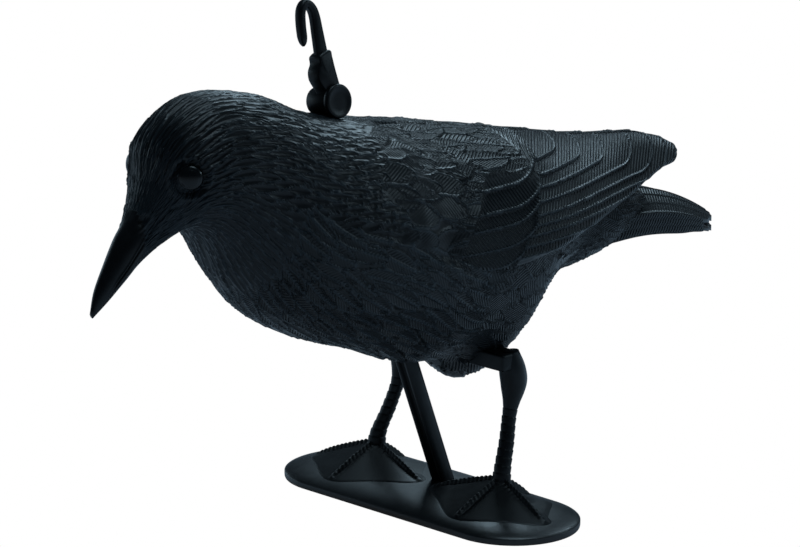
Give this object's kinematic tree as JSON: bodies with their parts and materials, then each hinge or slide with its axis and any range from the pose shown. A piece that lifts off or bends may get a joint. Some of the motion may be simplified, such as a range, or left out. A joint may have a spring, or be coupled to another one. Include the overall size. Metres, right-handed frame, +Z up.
{
  "type": "crow decoy",
  "caption": "Moulded crow figure that stands on two legs and a leaning prop over a domed base plate, with a hook on its back.",
  "frame": {"origin": "middle of the base plate's flat underside", "axes": "+Z up, +X from beak to tail, +Y to the bird's right side; the plate's long side lies along Y"},
  "size_m": [0.3886, 0.165, 0.2414],
  "materials": {
    "body": "satin",
    "stand": "satin",
    "prop": "satin",
    "hanger": "satin"
  },
  "bodies": {
    "root": {"body": "body", "stand": "stand", "prop": "prop", "hanger": "hanger"}
  },
  "joints": []
}
